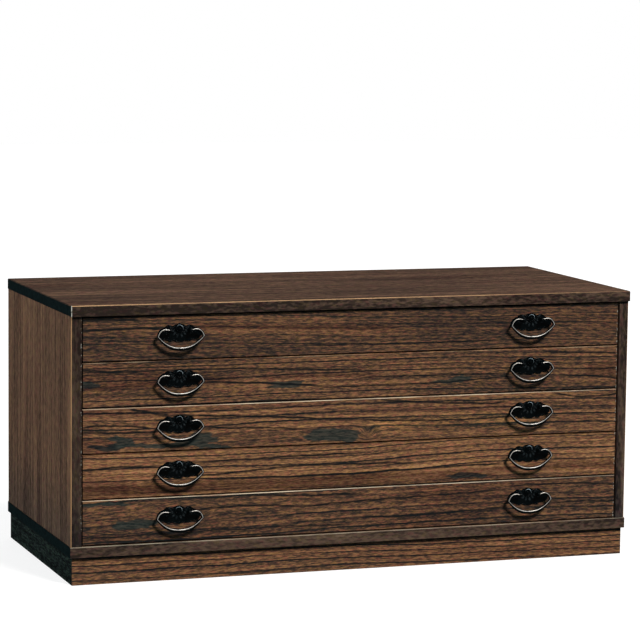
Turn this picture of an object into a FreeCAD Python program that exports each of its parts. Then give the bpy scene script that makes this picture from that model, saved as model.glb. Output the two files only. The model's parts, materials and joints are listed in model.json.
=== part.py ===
import FreeCAD, Part
import math
import os

import Sketcher

# A low clothing chest: a board carcass on a recessed plinth, five stacked drawers and ten bail handles.
# Row frame: X to the right, Y to the back, Z up, with the origin on the floor under the middle of the chest.
# Every size is in millimetres.

SIZES = {
    # Whole chest
    "overall_width": 1000.0,
    "overall_height": 465.0,
    "carcass_depth": 446.0,
    "board_thickness": 18.0,
    "edge_bevel": 1.2,
    "cut_overrun": 2.0,
    "glue_gap": 0.1,
    # Top and bottom boards
    "top_front_overhang": 4.0,
    "top_side_overhang": 1.0,
    "bottom_front_overhang": 1.0,
    # Back panel
    "back_panel_thickness": 5.0,
    "back_panel_inset": 8.0,
    "back_groove_depth": 6.0,
    # Plinth
    "plinth_height": 47.0,
    "plinth_front_recess": 5.0,
    "plinth_side_recess": 4.0,
    "plinth_rail_thickness": 18.0,
    "corner_block_leg": 45.0,
    "corner_block_drop": 6.0,
    # Stub tenons of the side panels, let into the boards above and below
    "tenon_count": 4.0,
    "tenon_length": 60.0,
    "tenon_thickness": 9.0,
    "tenon_height": 11.0,
    "tenon_first_inset": 25.0,
    # Drawer runners
    "runner_height": 8.0,
    "runner_projection": 14.0,
    "runner_housing_depth": 4.0,
    "runner_rear_gap": 12.0,
    # Drawers
    "drawer_count": 5.0,
    "drawer_gap": 1.5,
    "drawer_end_gap": 1.2,
    "drawer_recess": 1.0,
    "drawer_rear_gap": 10.0,
    "front_thickness": 18.0,
    "drawer_side_thickness": 10.0,
    "drawer_side_drop": 3.0,
    "drawer_back_thickness": 10.0,
    "drawer_bottom_thickness": 5.0,
    "drawer_bottom_rise": 5.0,
    "bottom_groove_depth": 4.0,
    "tail_count": 2.0,
    "tail_length": 12.0,
    "tail_root_height": 16.0,
    "tail_end_height": 20.0,
    # Handle places on a drawer front
    "handle_spacing": 630.0,
    "pivot_rise": 12.0,
    "pivot_stand_off": 10.0,
    "post_spacing": 34.0,
    # Split pins: an eye in front and two flat legs, spread and clinched behind the drawer front
    "eye_radius": 3.8,
    "eye_width": 4.4,
    "leg_thickness": 1.3,
    "leg_clinch_length": 11.0,
    "leg_clearance": 0.2,
    # Bail
    "bail_width": 84.0,
    "bail_drop": 33.8,
    "bail_tip_drop": 9.4,
    "bail_bar_depth": 4.4,
    "bail_middle_thickness": 6.2,
    "bail_tip_thickness": 5.2,
    "bail_hook_thickness": 4.6,
    "bail_bevel": 1.2,
    "pin_radius": 1.6,
    "pin_clearance": 0.06,
    "eye_gap": 0.4,
    # Backplate
    "plate_width": 76.0,
    "plate_height": 30.0,
    "plate_rise": 10.5,
    "plate_thickness": 1.6,
    "flower_radius": 6.6,
    "flower_height": 1.4,
    "flower_rise": 2.5,
    "button_radius": 2.8,
    "button_height": 1.6,
    "seat_radius": 4.6,
    "seat_height": 2.2,
}

# Right half of the backplate's outline, from its top point to its bottom point: the place across as a share
# of half the width, the place down as a share of the height, and the bulge of the lobe that follows as a
# share of its chord.
PLATE_OUTLINE_SHARES = [
    (0.00, 0.00, 0.06),
    (0.30, 0.13, 0.20),
    (0.68, 0.21, 0.17),
    (1.00, 0.65, 0.14),
    (0.60, 0.86, 0.20),
    (0.26, 0.90, 0.10),
    (0.00, 1.00, None),
]

# The hooked ends of the bail bulge by this share of their chord, and the notches between the flower's
# petals lie at this share of its radius.
HOOK_BULGE_SHARE = 0.24
PETAL_NOTCH_SHARE = 0.78

# A curve rises as this power of the way from its middle: 2 is a parabola, and more is fuller at its ends.
PLAIN_FULLNESS = 2.0
BOW_FULLNESS = 2.4

# Hand-forged curves are drawn in this many flats.
LOBE_FLATS = 3
HOOK_FLATS = 3
BOW_FLATS = 8
PETAL_COUNT = 8
SEAT_SIDES = 8
BORE_SIDES = 12


# Sizes that carry both a number and the expression that binds it to the sheet

class Size:
    """A length with its present number and the expression that keeps it up to date."""

    def __init__(self, number, text):
        self.number = number
        self.text = text

    def __add__(self, other):
        other = as_size(other)
        return Size(self.number + other.number, f"({self.text} + {other.text})")

    def __sub__(self, other):
        other = as_size(other)
        return Size(self.number - other.number, f"({self.text} - {other.text})")

    def __mul__(self, other):
        other = as_size(other)
        return Size(self.number * other.number, f"({self.text} * {other.text})")

    def __truediv__(self, other):
        other = as_size(other)
        return Size(self.number / other.number, f"({self.text} / {other.text})")

    def __neg__(self):
        return Size(-self.number, f"(-1 * {self.text})")

    def __radd__(self, other):
        return as_size(other) + self

    def __rsub__(self, other):
        return as_size(other) - self

    def __rmul__(self, other):
        return as_size(other) * self


def as_size(value):
    """A Size as it is, or a plain number as a Size."""
    if isinstance(value, Size):
        return value
    return Size(float(value), repr(float(value)))


class Namespace:
    """Named sizes, read as attributes."""


def make_sheet(document):
    """Write the driving sizes to the spreadsheet and return them as Size objects."""
    sheet = document.addObject("Spreadsheet::Sheet", "Sizes")
    sizes = Namespace()
    for row, (name, number) in enumerate(SIZES.items(), 1):
        sheet.set(f"A{row}", name)
        sheet.set(f"B{row}", str(number))
        sheet.setAlias(f"B{row}", name)
        setattr(sizes, name, Size(number, f"Sizes.{name}"))
    document.recompute()
    return sizes


doc = FreeCAD.newDocument("clothing_chest")
s = make_sheet(doc)
node_bodies = []


# Places that several pieces share

carcass_half = s.overall_width / 2 - s.top_side_overhang
opening_half = carcass_half - s.board_thickness
opening_low = s.plinth_height + s.board_thickness
opening_high = s.overall_height - s.board_thickness
handle_projection = s.pivot_stand_off + s.eye_radius - s.drawer_recess
front_plane = -1 * (s.carcass_depth - handle_projection) / 2
back_panel_front = s.carcass_depth - s.back_panel_inset - s.back_panel_thickness
back_groove_front = back_panel_front - s.glue_gap
back_groove_width = s.back_panel_thickness + 2 * s.glue_gap
drawer_half = opening_half - s.drawer_end_gap
drawer_pitch = (opening_high - opening_low - s.drawer_gap) / s.drawer_count
front_height = drawer_pitch - s.drawer_gap
drawer_depth = back_panel_front - s.drawer_recess - s.drawer_rear_gap
drawer_front_y = front_plane + s.drawer_recess
inner_half = drawer_half - s.drawer_side_thickness
side_low = s.runner_height
side_high = front_height - s.drawer_side_drop
groove_low = side_low + s.drawer_bottom_rise
groove_high = groove_low + s.drawer_bottom_thickness + s.glue_gap
handle_half = s.handle_spacing / 2
pivot_height = front_height / 2 + s.pivot_rise
post_half = s.post_spacing / 2
back_height = side_high - groove_high
finger_low = groove_high + back_height / 3
finger_high = groove_high + back_height * 2 / 3
runner_front = s.drawer_recess + s.front_thickness
runner_length = back_panel_front - runner_front - s.runner_rear_gap
plinth_half = s.overall_width / 2 - s.plinth_side_recess
plinth_front = s.plinth_front_recess
plinth_back = s.carcass_depth - s.plinth_side_recess
drawer_numbers = range(1, int(SIZES["drawer_count"]) + 1)


def drawer_base(number):
    """The height of the lower edge of a drawer front, counted from the top drawer down."""
    return opening_low + s.drawer_gap + (s.drawer_count - number) * drawer_pitch


# Helpers for bodies, sketches and features

def bind(thing, path, size):
    """Bind one property of an object to the sheet."""
    thing.setExpression(path, as_size(size).text)


def new_body(name, x=0, y=0, z=0):
    """Start one sub-part, placed in the row frame."""
    body = doc.addObject("PartDesign::Body", name)
    body.Label = name
    body.AllowCompound = True
    for axis, place in zip("xyz", (x, y, z)):
        bind(body, f"Placement.Base.{axis}", place)
    node_bodies.append(body)
    return body


def origin_plane(body, role):
    """One of the three origin planes of a body."""
    return [item for item in body.Origin.OriginFeatures if item.Role == role][0]


def new_sketch(body, role, offset=0, across=0, up=0):
    """Start a sketch on an origin plane, moved along its normal, across and up by named sizes."""
    sketch = body.newObject("Sketcher::SketchObject", f"{body.Name}_sketch")
    sketch.AttachmentSupport = [(origin_plane(body, role), "")]
    sketch.MapMode = "FlatFace"
    for axis, place in zip("xyz", (across, up, offset)):
        bind(sketch, f"AttachmentOffset.Base.{axis}", place)
    return sketch


def pin_datum(sketch, constraint, size):
    """Add one dimension to a sketch and bind it."""
    index = sketch.addConstraint(constraint)
    bind(sketch, f"Constraints[{index}]", size)


def pin_point(sketch, edge, end, x, y):
    """Dimension one point of a sketch from its origin."""
    pin_datum(sketch, Sketcher.Constraint("DistanceX", -1, 1, edge, end, as_size(x).number), x)
    pin_datum(sketch, Sketcher.Constraint("DistanceY", -1, 1, edge, end, as_size(y).number), y)


def draw_outline(sketch, corners):
    """Draw a closed outline of straight edges through corners given across and up."""
    first_edge = sketch.GeometryCount
    points = [FreeCAD.Vector(as_size(x).number, as_size(y).number, 0) for x, y in corners]
    for here, there in zip(points, points[1:] + points[:1]):
        sketch.addGeometry(Part.LineSegment(here, there), False)
    for index, (x, y) in enumerate(corners):
        edge = first_edge + index
        before = first_edge + (index - 1) % len(corners)
        sketch.addConstraint(Sketcher.Constraint("Coincident", before, 2, edge, 1))
        pin_point(sketch, edge, 1, x, y)


def bulged_edge(start, end, bulge, flats, fullness=PLAIN_FULLNESS):
    """The corners from start up to end, not with it, of a curve drawn in flats.

    It bulges to the left of the way by a share of the chord.
    """
    across = end[0] - start[0]
    up = end[1] - start[1]
    corners = []
    for index in range(flats):
        along_share = index / flats
        rise_share = 1 - abs(1 - 2 * along_share) ** fullness
        corners.append((
            start[0] + across * along_share - up * bulge * rise_share,
            start[1] + up * along_share + across * bulge * rise_share,
        ))
    return corners


def draw_rectangle(sketch, low_x, low_y, high_x, high_y):
    """Draw a rectangle between two opposite corners."""
    draw_outline(sketch, [(low_x, low_y), (high_x, low_y), (high_x, high_y), (low_x, high_y)])


def draw_circle(sketch, x, y, radius):
    """Draw a circle about a dimensioned centre."""
    centre = FreeCAD.Vector(as_size(x).number, as_size(y).number, 0)
    circle = Part.Circle(centre, FreeCAD.Vector(0, 0, 1), as_size(radius).number)
    edge = sketch.addGeometry(circle, False)
    pin_point(sketch, edge, 3, x, y)
    pin_datum(sketch, Sketcher.Constraint("Radius", edge, as_size(radius).number), radius)


def add_pad(body, sketch, length, backwards=False, midplane=False):
    """Pad a sketch along its normal, against it, or both ways."""
    pad = body.newObject("PartDesign::Pad", f"{body.Name}_pad")
    pad.Profile = (sketch, [""])
    pad.Reversed = backwards
    pad.Midplane = midplane
    bind(pad, "Length", length)
    return pad


def add_pocket(body, sketch, length, along=False, midplane=False):
    """Cut a sketch against its normal, or along it."""
    pocket = body.newObject("PartDesign::Pocket", f"{body.Name}_pocket")
    pocket.Profile = (sketch, [""])
    pocket.Reversed = along
    pocket.Midplane = midplane
    bind(pocket, "Length", length)
    return pocket


def add_mirror(body, features, role="YZ_Plane"):
    """Repeat features on the other side of an origin plane."""
    mirror = body.newObject("PartDesign::Mirrored", f"{body.Name}_mirror")
    mirror.Originals = features
    mirror.MirrorPlane = (origin_plane(body, role), [""])
    body.Tip = mirror
    return mirror


def edge_names(shape, wanted):
    """The names of the edges whose two ends both pass a test."""
    names = []
    for index, edge in enumerate(shape.Edges, 1):
        if all(wanted(vertex.Point) for vertex in edge.Vertexes):
            names.append(f"Edge{index}")
    return names


def add_bevel(body, base, size, wanted):
    """Chamfer the edges of a feature whose ends pass a test."""
    doc.recompute()
    bevel = body.newObject("PartDesign::Chamfer", f"{body.Name}_bevel")
    bevel.Base = (base, edge_names(base.Shape, wanted))
    bind(bevel, "Size", size)
    return bevel


def near(first, second):
    """Whether two lengths agree, within a share of the smallest bevel."""
    return abs(first - as_size(second).number) < SIZES["edge_bevel"] / 8


# Carcass

def tenon_places():
    """Where the tenons of one panel end start, from front to back."""
    count = int(SIZES["tenon_count"])
    run = s.carcass_depth - 2 * s.tenon_first_inset - s.tenon_length - s.back_panel_inset
    return [s.tenon_first_inset + run * (index / (count - 1)) for index in range(count)]


def draw_tenons(sketch, sides, gap):
    """Draw the outlines of the tenons, or with a gap of their mortises, in the middle of each side panel."""
    middle = carcass_half - s.board_thickness / 2
    half = s.tenon_thickness / 2 + gap
    for side in sides:
        for place in tenon_places():
            draw_rectangle(
                sketch, middle * side - half, place - gap, middle * side + half, place + s.tenon_length + gap
            )


def cut_board_joinery(body, face, upward):
    """Cut the groove of the back panel and the mortises of the side panels into one face of a board."""
    groove = new_sketch(body, "XY_Plane", face)
    groove_half = opening_half + s.back_groove_depth
    draw_rectangle(groove, -groove_half, back_groove_front, groove_half, back_groove_front + back_groove_width)
    add_pocket(body, groove, s.back_groove_depth, along=upward)
    mortises = new_sketch(body, "XY_Plane", face)
    draw_tenons(mortises, (-1, 1), s.glue_gap)
    add_pocket(body, mortises, s.tenon_height + s.glue_gap, along=upward)


def top_board():
    """The top board, whose ends and front stand out over the carcass."""
    body = new_body("top_board", y=front_plane)
    half = s.overall_width / 2
    outline = new_sketch(body, "XY_Plane", opening_high)
    draw_rectangle(outline, -half, -s.top_front_overhang, half, s.carcass_depth)
    board = add_pad(body, outline, s.board_thickness)
    add_bevel(body, board, s.edge_bevel, lambda p: near(p.z, s.overall_height))
    cut_board_joinery(body, opening_high, True)


def bottom_board():
    """The bottom board, whose front edge shows between the drawers and the plinth."""
    body = new_body("bottom_board", y=front_plane)
    half = s.overall_width / 2
    outline = new_sketch(body, "XY_Plane", s.plinth_height)
    draw_rectangle(outline, -half, -s.bottom_front_overhang, half, s.carcass_depth)
    board = add_pad(body, outline, s.board_thickness)
    front = -s.bottom_front_overhang
    add_bevel(body, board, s.edge_bevel, lambda p: near(p.y, front) and near(p.z, opening_low))
    cut_board_joinery(body, opening_low, False)


def side_panel(name, side):
    """A side panel with its stub tenons, its runner housings and its groove for the back panel."""
    body = new_body(name, y=front_plane)
    inner = opening_half * side
    outer = carcass_half * side
    outline = new_sketch(body, "XY_Plane", opening_low)
    draw_rectangle(outline, inner, 0, outer, s.carcass_depth)
    panel = add_pad(body, outline, opening_high - opening_low)
    add_bevel(body, panel, s.edge_bevel, lambda p: near(p.y, 0) and near(p.x, outer))
    housings = new_sketch(body, "XZ_Plane", -runner_front)
    for number in drawer_numbers:
        low = drawer_base(number)
        depth_end = (opening_half + s.runner_housing_depth + s.glue_gap) * side
        draw_rectangle(housings, inner, low, depth_end, low + s.runner_height)
    add_pocket(body, housings, runner_length + s.glue_gap)
    groove = new_sketch(body, "XY_Plane", opening_low)
    groove_end = (opening_half + s.back_groove_depth) * side
    draw_rectangle(groove, inner, back_groove_front, groove_end, back_groove_front + back_groove_width)
    add_pocket(body, groove, opening_high - opening_low, along=True)
    for height, down in ((opening_low, True), (opening_high, False)):
        tenons = new_sketch(body, "XY_Plane", height)
        draw_tenons(tenons, (side,), 0)
        add_pad(body, tenons, s.tenon_height, backwards=down)


def back_panel():
    """The thin back panel, held in a groove all round."""
    body = new_body("back_panel", y=front_plane)
    edge = s.back_groove_depth - s.glue_gap
    outline = new_sketch(body, "XZ_Plane", -back_panel_front)
    draw_rectangle(outline, -opening_half - edge, opening_low - edge, opening_half + edge, opening_high + edge)
    add_pad(body, outline, s.back_panel_thickness, backwards=True)


def drawer_runners(name, side):
    """The strips, housed in one side panel, that the drawers slide on and stop against."""
    body = new_body(name, y=front_plane)
    outline = new_sketch(body, "XZ_Plane", -runner_front)
    inner = (opening_half - s.runner_projection) * side
    outer = (opening_half + s.runner_housing_depth) * side
    for number in drawer_numbers:
        low = drawer_base(number)
        draw_rectangle(outline, inner, low, outer, low + s.runner_height)
    add_pad(body, outline, runner_length, backwards=True)


# Plinth

def plinth_rail(name, corners):
    """One rail of the plinth, from its outline on the floor."""
    body = new_body(name, y=front_plane)
    outline = new_sketch(body, "XY_Plane")
    draw_outline(outline, corners)
    add_pad(body, outline, s.plinth_height)


def plinth():
    """The plinth: mitred at the front corners, with the back rail between the side rails."""
    thickness = s.plinth_rail_thickness
    inner = plinth_half - thickness
    front_inner = plinth_front + thickness
    plinth_rail("plinth_front_rail", [
        (-plinth_half, plinth_front),
        (plinth_half, plinth_front),
        (inner, front_inner),
        (-inner, front_inner),
    ])
    for name, side in (("plinth_left_rail", -1), ("plinth_right_rail", 1)):
        plinth_rail(name, [
            (plinth_half * side, plinth_front),
            (plinth_half * side, plinth_back),
            (inner * side, plinth_back),
            (inner * side, front_inner),
        ])
    back_inner = plinth_back - thickness
    plinth_rail("plinth_back_rail", [
        (-inner, back_inner),
        (inner, back_inner),
        (inner, plinth_back),
        (-inner, plinth_back),
    ])
    body = new_body("plinth_corner_blocks", y=front_plane)
    outline = new_sketch(body, "XY_Plane", s.corner_block_drop)
    leg = s.corner_block_leg
    for side in (-1, 1):
        for corner_y, toward in ((front_inner, 1), (back_inner, -1)):
            draw_outline(outline, [
                (inner * side, corner_y),
                ((inner - leg) * side, corner_y),
                (inner * side, corner_y + leg * toward),
            ])
    add_pad(body, outline, s.plinth_height - s.corner_block_drop)


# Drawers

def tail_middles():
    """The heights of the middles of the dovetails on a drawer side."""
    count = int(SIZES["tail_count"])
    height = side_high - side_low
    return [side_low + height * ((index + 0.5) / count) for index in range(count)]


def tail_corners(middle, tip_y, root_y, extra):
    """The four corners of one dovetail in depth and height, made larger by a gap."""
    root_half = s.tail_root_height / 2 + extra
    tip_half = s.tail_end_height / 2 + extra
    return [
        (root_y, middle - root_half),
        (tip_y, middle - tip_half),
        (tip_y, middle + tip_half),
        (root_y, middle + root_half),
    ]


def handle_points():
    """The places across and up of the four split pins of one drawer."""
    return [
        (handle_half * side + post_half * end, pivot_height)
        for side in (-1, 1)
        for end in (-1, 1)
    ]


def drawer_front(number, base):
    """A drawer front: eased face edges, dovetail sockets, a groove for the bottom and slots for the pins."""
    body = new_body(f"drawer_{number}_front", y=drawer_front_y, z=base)
    outline = new_sketch(body, "XZ_Plane")
    draw_rectangle(outline, -drawer_half, 0, drawer_half, front_height)
    panel = add_pad(body, outline, s.front_thickness, backwards=True)
    add_bevel(body, panel, s.edge_bevel, lambda p: near(p.y, 0))

    sockets = new_sketch(body, "YZ_Plane", inner_half)
    tip = s.front_thickness - s.tail_length - s.glue_gap
    root = s.front_thickness
    for middle in tail_middles():
        draw_outline(sockets, tail_corners(middle, tip, root, s.glue_gap))
    cut = add_pocket(body, sockets, s.drawer_side_thickness + s.cut_overrun, along=True)
    add_mirror(body, [cut])

    groove = new_sketch(body, "XZ_Plane", -s.front_thickness)
    groove_half = inner_half + s.bottom_groove_depth
    draw_rectangle(groove, -groove_half, groove_low, groove_half, groove_high)
    add_pocket(body, groove, s.bottom_groove_depth, along=True)

    slots = new_sketch(body, "XZ_Plane")
    slot_half = s.eye_width / 2 + s.leg_clearance
    slot_rise = s.leg_thickness + s.leg_clearance
    for x, z in handle_points():
        draw_rectangle(slots, x - slot_half, z - slot_rise, x + slot_half, z + slot_rise)
    add_pocket(body, slots, s.front_thickness)


def drawer_side(number, base, name, side):
    """A drawer side: dovetails in front, a notch for the back's finger and a groove for the bottom."""
    body = new_body(f"drawer_{number}_{name}", y=drawer_front_y, z=base)
    outline = new_sketch(body, "YZ_Plane", inner_half * side)
    shoulder = s.front_thickness
    corners = [(shoulder, side_low)]
    for middle in tail_middles():
        corners += tail_corners(middle, s.front_thickness - s.tail_length, shoulder, 0)
    notch_front = drawer_depth - s.drawer_back_thickness
    corners += [
        (shoulder, side_high),
        (drawer_depth, side_high),
        (drawer_depth, finger_high),
        (notch_front, finger_high),
        (notch_front, finger_low),
        (drawer_depth, finger_low),
        (drawer_depth, side_low),
    ]
    draw_outline(outline, corners)
    add_pad(body, outline, s.drawer_side_thickness, backwards=side < 0)
    groove = new_sketch(body, "YZ_Plane", inner_half * side)
    groove_front = s.front_thickness - s.tail_length - s.cut_overrun
    draw_rectangle(groove, groove_front, groove_low, drawer_depth + s.cut_overrun, groove_high)
    add_pocket(body, groove, s.bottom_groove_depth, along=side > 0)


def drawer_back(number, base):
    """The drawer back, over the bottom, with one finger through each side."""
    body = new_body(f"drawer_{number}_back", y=drawer_front_y, z=base)
    outline = new_sketch(body, "XZ_Plane", -(drawer_depth - s.drawer_back_thickness))
    low = groove_high
    draw_outline(outline, [
        (-inner_half, low),
        (inner_half, low),
        (inner_half, finger_low),
        (drawer_half, finger_low),
        (drawer_half, finger_high),
        (inner_half, finger_high),
        (inner_half, side_high),
        (-inner_half, side_high),
        (-inner_half, finger_high),
        (-drawer_half, finger_high),
        (-drawer_half, finger_low),
        (-inner_half, finger_low),
    ])
    add_pad(body, outline, s.drawer_back_thickness, backwards=True)


def drawer_bottom(number, base):
    """The thin drawer bottom, in grooves at the front and sides and under the back."""
    body = new_body(f"drawer_{number}_bottom", y=drawer_front_y, z=base)
    outline = new_sketch(body, "XY_Plane", groove_low)
    half = inner_half + s.bottom_groove_depth - s.glue_gap
    front = s.front_thickness - s.bottom_groove_depth + s.glue_gap
    draw_rectangle(outline, -half, front, half, drawer_depth)
    add_pad(body, outline, s.drawer_bottom_thickness)


# Handles

def plate_corners():
    """The scalloped outline of a backplate about the handle's middle, from the shares of its size."""
    half = s.plate_width / 2
    right = []
    for (across, down, bulge), (next_across, next_down, _) in zip(PLATE_OUTLINE_SHARES, PLATE_OUTLINE_SHARES[1:]):
        start = (half * across, s.plate_rise - s.plate_height * down)
        end = (half * next_across, s.plate_rise - s.plate_height * next_down)
        right += bulged_edge(start, end, bulge, LOBE_FLATS)
    bottom = (as_size(0), s.plate_rise - s.plate_height)
    left = [(-x, z) for x, z in right[:0:-1]]
    return right + [bottom] + left


def flower_corners():
    """The outline of the flower, with a notch between each two petals."""
    corners = []
    for index in range(2 * PETAL_COUNT):
        angle = math.pi * index / PETAL_COUNT
        reach = s.flower_radius if index % 2 == 0 else s.flower_radius * PETAL_NOTCH_SHARE
        corners.append((reach * math.cos(angle), reach * math.sin(angle)))
    return corners


def regular_corners(sides, radius, middle=0):
    """The corners of a regular outline about a place across."""
    return [
        (middle + radius * math.cos(2 * math.pi * index / sides), radius * math.sin(2 * math.pi * index / sides))
        for index in range(sides)
    ]


def backplates(number, base):
    """The two backplates of a drawer: a scalloped plate with a flower and two seats for the split pins."""
    body = new_body(f"drawer_{number}_backplates", y=drawer_front_y, z=base + pivot_height)
    outline = new_sketch(body, "XZ_Plane", across=handle_half)
    draw_outline(outline, plate_corners())
    plate = add_pad(body, outline, s.plate_thickness)
    relief = [plate]
    for corners, rise, low, height in (
        (flower_corners(), s.flower_rise, s.plate_thickness, s.flower_height),
        (regular_corners(PETAL_COUNT, s.button_radius), s.flower_rise, s.plate_thickness + s.flower_height,
         s.button_height),
        (regular_corners(SEAT_SIDES, s.seat_radius, post_half), 0, s.plate_thickness, s.seat_height),
        (regular_corners(SEAT_SIDES, s.seat_radius, -post_half), 0, s.plate_thickness, s.seat_height),
    ):
        raised = new_sketch(body, "XZ_Plane", low, across=handle_half, up=rise)
        draw_outline(raised, corners)
        relief.append(add_pad(body, raised, height))
    slots = new_sketch(body, "XZ_Plane", s.plate_thickness + s.seat_height, across=handle_half)
    slot_half = s.eye_width / 2 + s.leg_clearance
    slot_rise = s.leg_thickness + s.leg_clearance
    for end in (-1, 1):
        middle = post_half * end
        draw_rectangle(slots, middle - slot_half, -slot_rise, middle + slot_half, slot_rise)
    relief.append(add_pocket(body, slots, s.plate_thickness + s.seat_height))
    add_mirror(body, relief)


def split_pins(number, base):
    """The four split pins of a drawer, which hold the backplates and carry the bails in their eyes."""
    body = new_body(f"drawer_{number}_split_pins", y=drawer_front_y, z=base + pivot_height)
    clinch_y = s.front_thickness + s.leg_thickness
    clinch_z = s.leg_thickness + s.leg_clinch_length
    for x, _ in handle_points():
        legs = new_sketch(body, "YZ_Plane", x)
        draw_outline(legs, [
            (-s.pivot_stand_off, -s.leg_thickness),
            (s.front_thickness, -s.leg_thickness),
            (s.front_thickness, -clinch_z),
            (clinch_y, -clinch_z),
            (clinch_y, clinch_z),
            (s.front_thickness, clinch_z),
            (s.front_thickness, s.leg_thickness),
            (-s.pivot_stand_off, s.leg_thickness),
        ])
        add_pad(body, legs, s.eye_width, midplane=True)
        eye = new_sketch(body, "YZ_Plane", x, across=-s.pivot_stand_off)
        draw_outline(eye, regular_corners(SEAT_SIDES, s.eye_radius))
        add_pad(body, eye, s.eye_width, midplane=True)
    bores = new_sketch(body, "YZ_Plane", across=-s.pivot_stand_off)
    bore_reach = (s.pin_radius + s.pin_clearance) / math.cos(math.pi / BORE_SIDES)
    draw_outline(bores, regular_corners(BORE_SIDES, bore_reach))
    add_pocket(body, bores, s.overall_width, midplane=True)


def bail(number, base, name, side):
    """A bail: a flat forged bow with pointed shoulders, whose hooked ends turn into pins in the posts."""
    body = new_body(
        f"drawer_{number}_{name}",
        x=handle_half * side,
        y=drawer_front_y - s.pivot_stand_off,
        z=base + pivot_height,
    )
    hook_x = post_half + s.eye_width / 2 + s.eye_gap
    hook_half = s.bail_hook_thickness / 2
    tip_x = s.bail_width / 2
    tip_z = -s.bail_tip_drop
    inner_x = tip_x - s.bail_tip_thickness
    outer_bulge = (s.bail_drop - s.bail_tip_drop) / (2 * tip_x)
    inner_bulge = (s.bail_drop - s.bail_tip_drop - s.bail_middle_thickness) / (2 * inner_x)
    outline = new_sketch(body, "XZ_Plane")
    draw_outline(outline, [
        *bulged_edge((-hook_x, -hook_half), (-inner_x, tip_z), -HOOK_BULGE_SHARE, HOOK_FLATS),
        *bulged_edge((-inner_x, tip_z), (inner_x, tip_z), -inner_bulge, BOW_FLATS, BOW_FULLNESS),
        *bulged_edge((inner_x, tip_z), (hook_x, -hook_half), -HOOK_BULGE_SHARE, HOOK_FLATS),
        (hook_x, -hook_half),
        *bulged_edge((hook_x, hook_half), (tip_x, tip_z), HOOK_BULGE_SHARE, HOOK_FLATS),
        *bulged_edge((tip_x, tip_z), (-tip_x, tip_z), outer_bulge, BOW_FLATS, BOW_FULLNESS),
        *bulged_edge((-tip_x, tip_z), (-hook_x, hook_half), HOOK_BULGE_SHARE, HOOK_FLATS),
        (-hook_x, hook_half),
    ])
    bow = add_pad(body, outline, s.bail_bar_depth, midplane=True)
    face = s.bail_bar_depth / 2
    add_bevel(body, bow, s.bail_bevel, lambda p: near(p.y, -face))
    pin = new_sketch(body, "YZ_Plane", hook_x + hook_half)
    draw_circle(pin, 0, 0, s.pin_radius)
    pin_length = hook_half + 2 * s.eye_gap + s.eye_width
    stub = add_pad(body, pin, pin_length, backwards=True)
    add_mirror(body, [stub])


def drawers():
    """All drawers with their handles, from the top one down."""
    for number in drawer_numbers:
        base = drawer_base(number)
        drawer_front(number, base)
        drawer_side(number, base, "left_side", -1)
        drawer_side(number, base, "right_side", 1)
        drawer_back(number, base)
        drawer_bottom(number, base)
        backplates(number, base)
        split_pins(number, base)
        bail(number, base, "left_bail", -1)
        bail(number, base, "right_bail", 1)


# The whole chest

def check_document():
    """Stop if a feature failed, if a cut removed nothing or if a sub-part has no valid shape."""
    for thing in doc.Objects:
        if "Invalid" in thing.State or "Error" in thing.State:
            raise RuntimeError(f"{thing.Label} failed: {thing.State}")
        if thing.TypeId == "PartDesign::Pocket" and thing.BaseFeature.Shape.Volume <= thing.Shape.Volume:
            raise RuntimeError(f"{thing.Label} cuts nothing")
    for body in node_bodies:
        if body.Shape.isNull() or not body.Shape.isValid():
            raise RuntimeError(f"{body.Label} has no valid shape")


def write_parts():
    """Write one file for each sub-part."""
    os.makedirs("parts", exist_ok=True)
    for body in node_bodies:
        body.Shape.exportStep(f"parts/{body.Label}.step")


top_board()
bottom_board()
side_panel("left_side_panel", -1)
side_panel("right_side_panel", 1)
back_panel()
drawer_runners("left_runners", -1)
drawer_runners("right_runners", 1)
plinth()
drawers()
doc.recompute()
check_document()
write_parts()
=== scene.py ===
import json
import math

import bpy
from mathutils import Matrix, Vector


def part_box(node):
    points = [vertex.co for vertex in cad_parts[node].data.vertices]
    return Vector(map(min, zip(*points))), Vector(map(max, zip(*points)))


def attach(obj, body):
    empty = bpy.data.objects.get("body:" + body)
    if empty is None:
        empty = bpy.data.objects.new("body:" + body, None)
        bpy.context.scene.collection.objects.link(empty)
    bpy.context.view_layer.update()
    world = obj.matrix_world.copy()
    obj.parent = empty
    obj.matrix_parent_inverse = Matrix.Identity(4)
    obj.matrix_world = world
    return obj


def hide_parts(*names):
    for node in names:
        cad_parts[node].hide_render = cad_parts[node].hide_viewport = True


# The looks of the clothing chest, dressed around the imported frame.
# Places are in metres in the row frame: X to the right, Y to the back, Z up. Handles are drawn in mm.

MM = 0.001
DRAWERS = range(1, 6)
SIDES = ("left", "right")

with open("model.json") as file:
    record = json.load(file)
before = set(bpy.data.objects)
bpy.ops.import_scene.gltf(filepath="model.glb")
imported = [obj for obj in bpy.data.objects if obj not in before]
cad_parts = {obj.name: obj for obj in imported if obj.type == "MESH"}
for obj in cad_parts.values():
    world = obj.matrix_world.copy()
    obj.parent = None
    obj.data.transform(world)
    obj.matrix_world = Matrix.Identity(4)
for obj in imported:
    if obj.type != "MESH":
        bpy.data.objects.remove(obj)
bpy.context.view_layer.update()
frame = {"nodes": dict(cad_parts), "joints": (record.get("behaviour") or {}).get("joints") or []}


# Colours, as sRGB bytes

def linear(red, green, blue):
    """A linear colour from sRGB bytes."""
    channels = []
    for byte in (red, green, blue):
        share = byte / 255
        channels.append(share / 12.92 if share <= 0.04045 else ((share + 0.055) / 1.055) ** 2.4)
    return (*channels, 1.0)


# Node graphs

SEED_SHIFT = (3.1, 1.7, 2.3)


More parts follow.
